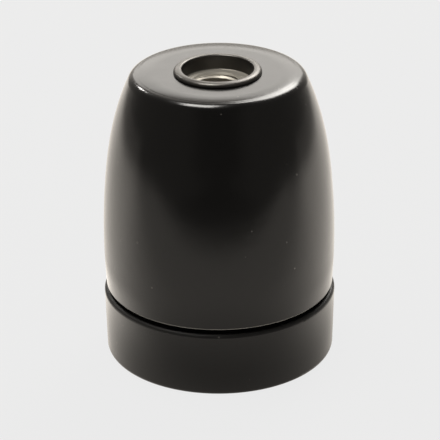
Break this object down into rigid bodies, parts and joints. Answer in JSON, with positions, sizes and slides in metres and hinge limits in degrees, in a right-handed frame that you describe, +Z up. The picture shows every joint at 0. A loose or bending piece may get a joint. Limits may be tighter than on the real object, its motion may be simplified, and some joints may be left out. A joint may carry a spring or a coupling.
{
  "type": "lamp holder",
  "caption": "Black glazed porcelain lamp holder for a 27 mm screw cap: tapering dome, lamp-mouth ring, inner screw shell, wiring terminals and a threaded metal cable entry on top.",
  "frame": {"origin": "centre of the standing rim round the lamp mouth, in the plane it stands on", "axes": "+Z up to the cable entry, +X through the two long screws that hold the insert, +Y towards the neutral and earth terminals"},
  "size_m": [0.047, 0.047, 0.0604],
  "materials": {
    "black_glaze": "gloss",
    "plated_steel": "satin",
    "brass": "satin",
    "thread_metal": "satin"
  },
  "bodies": {
    "holder": {"dome_shell": "black_glaze", "socket_insert": "black_glaze", "entry_bush": "plated_steel", "bush_nut": "plated_steel", "bush_lock_washer": "plated_steel", "yoke_bracket": "plated_steel", "insert_screw_left": "plated_steel", "insert_screw_right": "plated_steel", "insert_washer_left": "plated_steel", "insert_washer_right": "plated_steel", "centre_contact_rivet": "brass", "live_terminal": "brass", "neutral_terminal": "brass", "shell_rivet_neutral": "brass", "shell_rivet_left": "brass", "shell_rivet_right": "brass", "screw_shell": "thread_metal"},
    "contact": {"centre_contact": "brass"},
    "live_clamp": {"live_clamp_plate": "plated_steel"},
    "live_fastener": {"live_screw": "plated_steel"},
    "neutral_clamp": {"neutral_clamp_plate": "plated_steel"},
    "neutral_fastener": {"neutral_screw": "plated_steel"},
    "earth_clamp": {"earth_clamp_plate": "plated_steel"},
    "earth_fastener": {"earth_screw": "plated_steel"},
    "grub": {"grub_screw": "plated_steel"}
  },
  "joints": [
    {"name": "centre_contact_flex", "type": "hinge", "parent": "holder", "child": "contact", "pos_m": [0, -0.0042, 0.03275], "axis": [1, 0, 0], "range_deg": [0, 13], "stiffness_Nm_per_rad": 0.11, "deforming": ["centre_contact"]},
    {"name": "live_clamp_travel", "type": "slide", "parent": "holder", "child": "live_clamp", "axis": [0, 0, 1], "range_m": [0, 0.0015]},
    {"name": "live_screw_turn", "type": "hinge", "parent": "live_clamp", "child": "live_fastener", "pos_m": [0, -0.0118, 0.0412], "axis": [0, 0, 1], "range_deg": [0, 1080]},
    {"name": "neutral_clamp_travel", "type": "slide", "parent": "holder", "child": "neutral_clamp", "axis": [0, 0, 1], "range_m": [0, 0.0015]},
    {"name": "neutral_screw_turn", "type": "hinge", "parent": "neutral_clamp", "child": "neutral_fastener", "pos_m": [0, 0.0058, 0.0412], "axis": [0, 0, 1], "range_deg": [0, 1080]},
    {"name": "earth_clamp_travel", "type": "slide", "parent": "holder", "child": "earth_clamp", "axis": [0, 1, 0], "range_m": [0, 0.0015]},
    {"name": "earth_screw_turn", "type": "hinge", "parent": "earth_clamp", "child": "earth_fastener", "pos_m": [0, 0.0126, 0.0487], "axis": [0, 1, 0], "range_deg": [0, 1080]},
    {"name": "grub_screw_travel", "type": "slide", "parent": "holder", "child": "grub", "axis": [0, -1, 0], "range_m": [0, 0.0015]}
  ],
  "couplings": [
    {"joint": "live_screw_turn", "follows": "live_clamp_travel", "rad_per_m": 12566},
    {"joint": "neutral_screw_turn", "follows": "neutral_clamp_travel", "rad_per_m": 12566},
    {"joint": "earth_screw_turn", "follows": "earth_clamp_travel", "rad_per_m": 12566}
  ]
}
